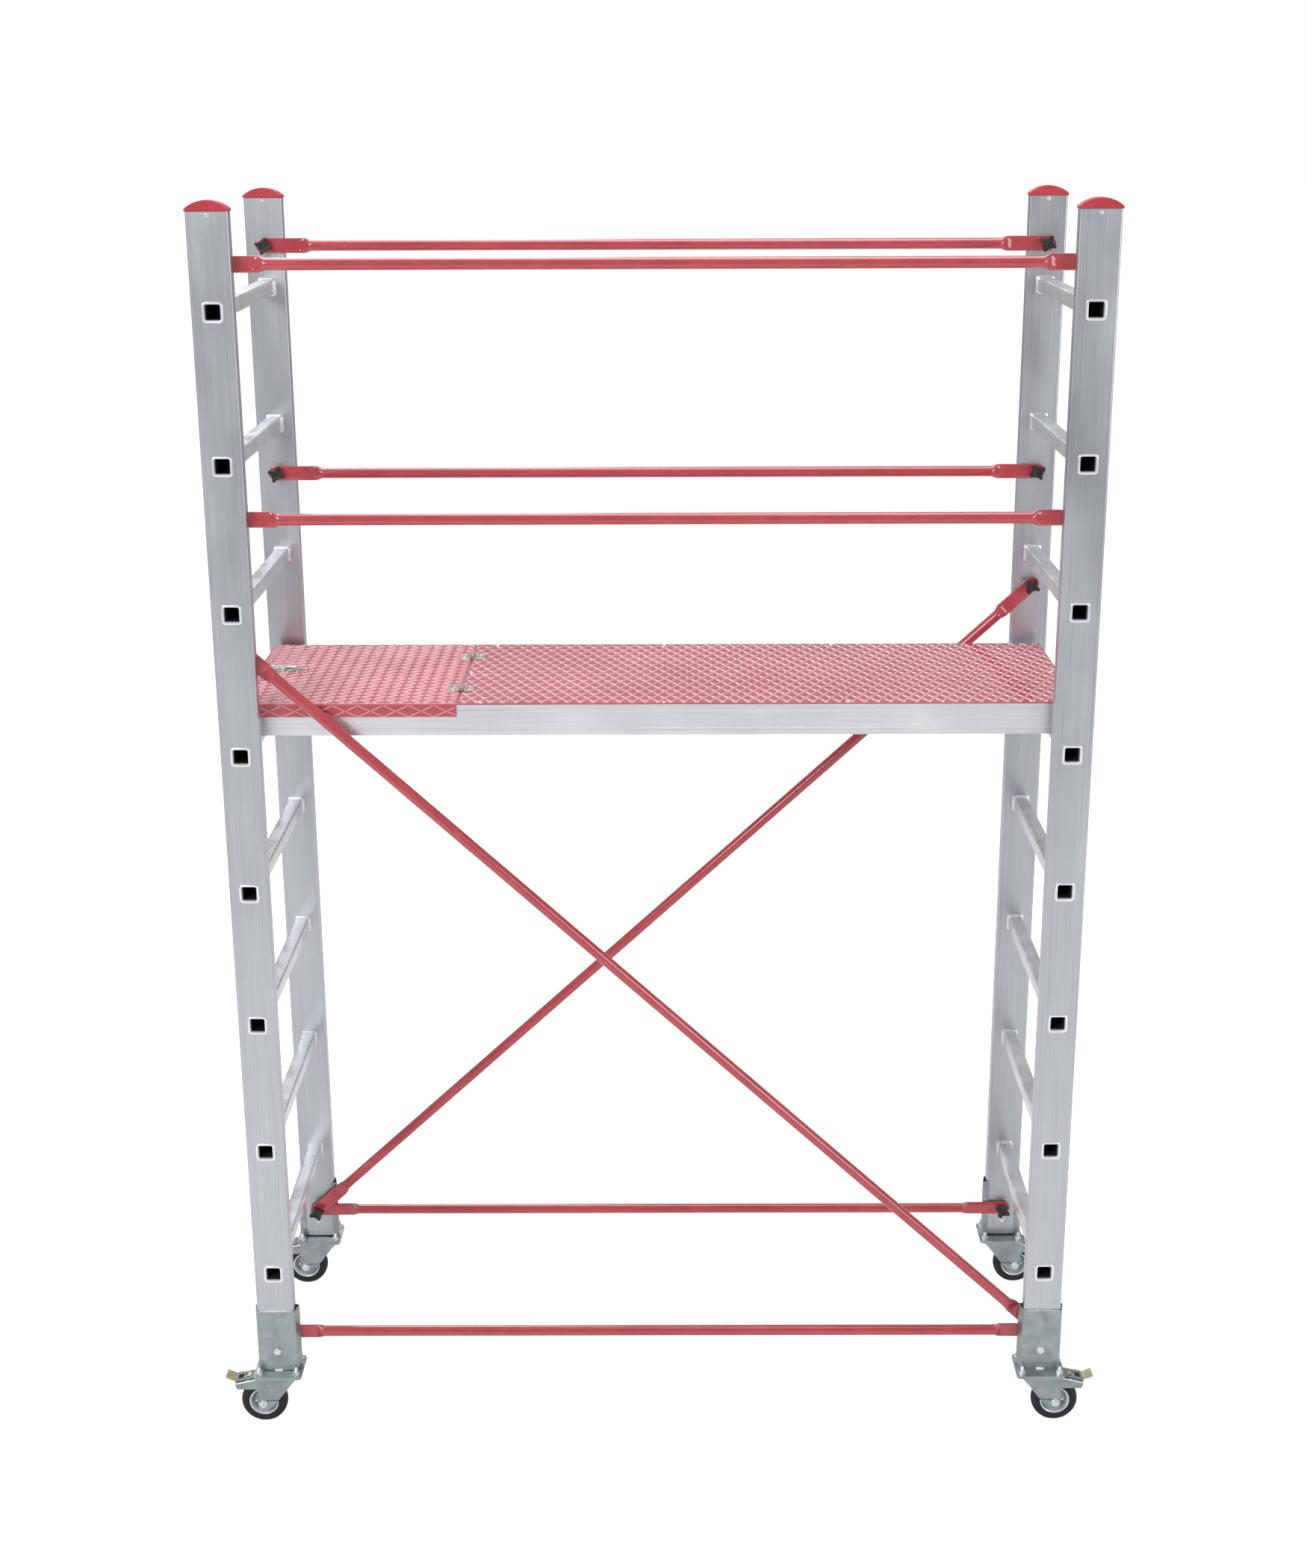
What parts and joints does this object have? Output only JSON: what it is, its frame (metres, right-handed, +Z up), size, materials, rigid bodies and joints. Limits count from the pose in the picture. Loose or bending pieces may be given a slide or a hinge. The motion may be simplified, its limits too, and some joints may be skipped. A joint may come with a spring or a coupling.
{
  "type": "baker scaffold",
  "caption": "Rolling baker scaffold: aluminium ladder ends, red tubular braces and rails, a deck with a hinged trapdoor, and braked swivel casters.",
  "frame": {"origin": "on the floor, under the middle of the scaffold", "axes": "+X along the scaffold, -Y is the front, +Z up"},
  "size_m": [1.823, 0.637, 2.5079],
  "materials": {
    "aluminium": "mill extruded, satin, lightly scuffed",
    "red_brace_paint": "gloss red powder coat",
    "red_deck_paint": "gloss red paint on embossed sheet",
    "red_plastic": "moulded red plastic",
    "galvanised_steel": "zinc plated pressed steel",
    "zinc_fasteners": "bright zinc",
    "stainless_steel": "satin steel",
    "yellow_zinc": "yellow passivated zinc",
    "rim_steel": "pressed zinc plated steel",
    "black_plastic": "moulded black plastic",
    "black_rubber": "moulded black rubber"
  },
  "bodies": {
    "frame": {"front_left_stile": "aluminium", "front_right_stile": "aluminium", "rear_left_stile": "aluminium", "rear_right_stile": "aluminium", "left_rungs": "aluminium", "right_rungs": "aluminium", "stile_caps": "red_plastic", "cap_rivets": "zinc_fasteners", "guard_rails": "red_brace_paint", "bottom_braces": "red_brace_paint", "front_diagonal_brace": "red_brace_paint", "rear_diagonal_brace": "red_brace_paint", "leg_brackets": "galvanised_steel", "caster_plates": "galvanised_steel", "bracket_bolts": "zinc_fasteners"},
    "platform": {"platform_side_rails": "aluminium", "platform_cross_members": "aluminium", "fixed_deck": "red_deck_paint", "deck_rivets": "zinc_fasteners", "hinge_fixed_leaves": "stainless_steel", "latch_keeper": "yellow_zinc"},
    "trapdoor": {"trapdoor": "red_deck_paint", "hinge_moving_leaves": "stainless_steel", "latch_body": "stainless_steel"},
    "latch_bolt": {"latch_bolt": "stainless_steel"},
    "latch_bail": {"latch_bail": "stainless_steel"},
    "front_top_left_knob": {"front_top_left_knob": "black_plastic"},
    "front_top_right_knob": {"front_top_right_knob": "black_plastic"},
    "front_mid_left_knob": {"front_mid_left_knob": "black_plastic"},
    "front_mid_right_knob": {"front_mid_right_knob": "black_plastic"},
    "front_diagonal_knob": {"front_diagonal_knob": "black_plastic"},
    "front_bottom_left_knob": {"front_bottom_left_knob": "black_plastic"},
    "front_bottom_right_knob": {"front_bottom_right_knob": "black_plastic"},
    "rear_top_left_knob": {"rear_top_left_knob": "black_plastic"},
    "rear_top_right_knob": {"rear_top_right_knob": "black_plastic"},
    "rear_mid_left_knob": {"rear_mid_left_knob": "black_plastic"},
    "rear_mid_right_knob": {"rear_mid_right_knob": "black_plastic"},
    "rear_diagonal_knob": {"rear_diagonal_knob": "black_plastic"},
    "rear_bottom_left_knob": {"rear_bottom_left_knob": "black_plastic"},
    "rear_bottom_right_knob": {"rear_bottom_right_knob": "black_plastic"},
    "front_left_swivel": {"front_left_fork": "galvanised_steel", "front_left_axle": "zinc_fasteners"},
    "front_left_wheel": {"front_left_rim": "rim_steel", "front_left_tyre": "black_rubber"},
    "front_left_brake": {"front_left_pedal": "yellow_zinc"},
    "front_right_swivel": {"front_right_fork": "galvanised_steel", "front_right_axle": "zinc_fasteners"},
    "front_right_wheel": {"front_right_rim": "rim_steel", "front_right_tyre": "black_rubber"},
    "front_right_brake": {"front_right_pedal": "yellow_zinc"},
    "rear_left_swivel": {"rear_left_fork": "galvanised_steel", "rear_left_axle": "zinc_fasteners"},
    "rear_left_wheel": {"rear_left_rim": "rim_steel", "rear_left_tyre": "black_rubber"},
    "rear_left_brake": {"rear_left_pedal": "yellow_zinc"},
    "rear_right_swivel": {"rear_right_fork": "galvanised_steel", "rear_right_axle": "zinc_fasteners"},
    "rear_right_wheel": {"rear_right_rim": "rim_steel", "rear_right_tyre": "black_rubber"},
    "rear_right_brake": {"rear_right_pedal": "yellow_zinc"}
  },
  "joints": [
    {"name": "platform_lift", "type": "slide", "parent": "frame", "child": "platform", "axis": [0, 0, 1], "range_m": [0, 0.08]},
    {"name": "trapdoor_hinge", "type": "hinge", "parent": "platform", "child": "trapdoor", "pos_m": [-0.385, 0, 1.5666], "axis": [0, 1, 0], "range_deg": [0, 170]},
    {"name": "latch_bolt_slide", "type": "slide", "parent": "trapdoor", "child": "latch_bolt", "axis": [-1, 0, 0], "range_m": [0, 0.012]},
    {"name": "latch_bail_hinge", "type": "hinge", "parent": "latch_bolt", "child": "latch_bail", "pos_m": [-0.739, 0.015, 1.5688], "axis": [0, -1, 0], "range_deg": [0, 150]},
    {"name": "front_top_left_knob_turn", "type": "hinge", "parent": "frame", "child": "front_top_left_knob", "pos_m": [-0.7975, -0.2635, 2.394], "axis": [0, 1, 0], "continuous": true},
    {"name": "front_top_right_knob_turn", "type": "hinge", "parent": "frame", "child": "front_top_right_knob", "pos_m": [0.7975, -0.2635, 2.394], "axis": [0, 1, 0], "continuous": true},
    {"name": "front_mid_left_knob_turn", "type": "hinge", "parent": "frame", "child": "front_mid_left_knob", "pos_m": [-0.7975, -0.2635, 1.927], "axis": [0, 1, 0], "continuous": true},
    {"name": "front_mid_right_knob_turn", "type": "hinge", "parent": "frame", "child": "front_mid_right_knob", "pos_m": [0.7975, -0.2635, 1.927], "axis": [0, 1, 0], "continuous": true},
    {"name": "front_diagonal_knob_turn", "type": "hinge", "parent": "frame", "child": "front_diagonal_knob", "pos_m": [-0.7975, -0.2635, 1.683], "axis": [0, 1, 0], "continuous": true},
    {"name": "front_bottom_left_knob_turn", "type": "hinge", "parent": "frame", "child": "front_bottom_left_knob", "pos_m": [-0.7975, -0.2635, 0.199], "axis": [0, 1, 0], "continuous": true},
    {"name": "front_bottom_right_knob_turn", "type": "hinge", "parent": "frame", "child": "front_bottom_right_knob", "pos_m": [0.7975, -0.2635, 0.199], "axis": [0, 1, 0], "continuous": true},
    {"name": "rear_top_left_knob_turn", "type": "hinge", "parent": "frame", "child": "rear_top_left_knob", "pos_m": [-0.7975, 0.2635, 2.394], "axis": [0, -1, 0], "continuous": true},
    {"name": "rear_top_right_knob_turn", "type": "hinge", "parent": "frame", "child": "rear_top_right_knob", "pos_m": [0.7975, 0.2635, 2.394], "axis": [0, -1, 0], "continuous": true},
    {"name": "rear_mid_left_knob_turn", "type": "hinge", "parent": "frame", "child": "rear_mid_left_knob", "pos_m": [-0.7975, 0.2635, 1.927], "axis": [0, -1, 0], "continuous": true},
    {"name": "rear_mid_right_knob_turn", "type": "hinge", "parent": "frame", "child": "rear_mid_right_knob", "pos_m": [0.7975, 0.2635, 1.927], "axis": [0, -1, 0], "continuous": true},
    {"name": "rear_diagonal_knob_turn", "type": "hinge", "parent": "frame", "child": "rear_diagonal_knob", "pos_m": [0.7975, 0.2635, 1.683], "axis": [0, -1, 0], "continuous": true},
    {"name": "rear_bottom_left_knob_turn", "type": "hinge", "parent": "frame", "child": "rear_bottom_left_knob", "pos_m": [-0.7975, 0.2635, 0.199], "axis": [0, -1, 0], "continuous": true},
    {"name": "rear_bottom_right_knob_turn", "type": "hinge", "parent": "frame", "child": "rear_bottom_right_knob", "pos_m": [0.7975, 0.2635, 0.199], "axis": [0, -1, 0], "continuous": true},
    {"name": "front_left_caster_swivel", "type": "hinge", "parent": "frame", "child": "front_left_swivel", "pos_m": [-0.7975, -0.276, 0.112], "axis": [0, 0, 1], "continuous": true},
    {"name": "front_left_wheel_roll", "type": "hinge", "parent": "front_left_swivel", "child": "front_left_wheel", "pos_m": [-0.8335, -0.276, 0.0485], "axis": [0, 1, 0], "continuous": true},
    {"name": "front_left_brake_press", "type": "hinge", "parent": "front_left_swivel", "child": "front_left_brake", "pos_m": [-0.8535, -0.276, 0.099], "axis": [0, -1, 0], "range_deg": [0, 8]},
    {"name": "front_right_caster_swivel", "type": "hinge", "parent": "frame", "child": "front_right_swivel", "pos_m": [0.7975, -0.276, 0.112], "axis": [0, 0, 1], "continuous": true},
    {"name": "front_right_wheel_roll", "type": "hinge", "parent": "front_right_swivel", "child": "front_right_wheel", "pos_m": [0.8335, -0.276, 0.0485], "axis": [0, 1, 0], "continuous": true},
    {"name": "front_right_brake_press", "type": "hinge", "parent": "front_right_swivel", "child": "front_right_brake", "pos_m": [0.8535, -0.276, 0.099], "axis": [0, 1, 0], "range_deg": [0, 8]},
    {"name": "rear_left_caster_swivel", "type": "hinge", "parent": "frame", "child": "rear_left_swivel", "pos_m": [-0.7975, 0.276, 0.112], "axis": [0, 0, 1], "continuous": true},
    {"name": "rear_left_wheel_roll", "type": "hinge", "parent": "rear_left_swivel", "child": "rear_left_wheel", "pos_m": [-0.8335, 0.276, 0.0485], "axis": [0, 1, 0], "continuous": true},
    {"name": "rear_left_brake_press", "type": "hinge", "parent": "rear_left_swivel", "child": "rear_left_brake", "pos_m": [-0.8535, 0.276, 0.099], "axis": [0, -1, 0], "range_deg": [0, 8]},
    {"name": "rear_right_caster_swivel", "type": "hinge", "parent": "frame", "child": "rear_right_swivel", "pos_m": [0.7975, 0.276, 0.112], "axis": [0, 0, 1], "continuous": true},
    {"name": "rear_right_wheel_roll", "type": "hinge", "parent": "rear_right_swivel", "child": "rear_right_wheel", "pos_m": [0.8335, 0.276, 0.0485], "axis": [0, 1, 0], "continuous": true},
    {"name": "rear_right_brake_press", "type": "hinge", "parent": "rear_right_swivel", "child": "rear_right_brake", "pos_m": [0.8535, 0.276, 0.099], "axis": [0, 1, 0], "range_deg": [0, 8]}
  ]
}
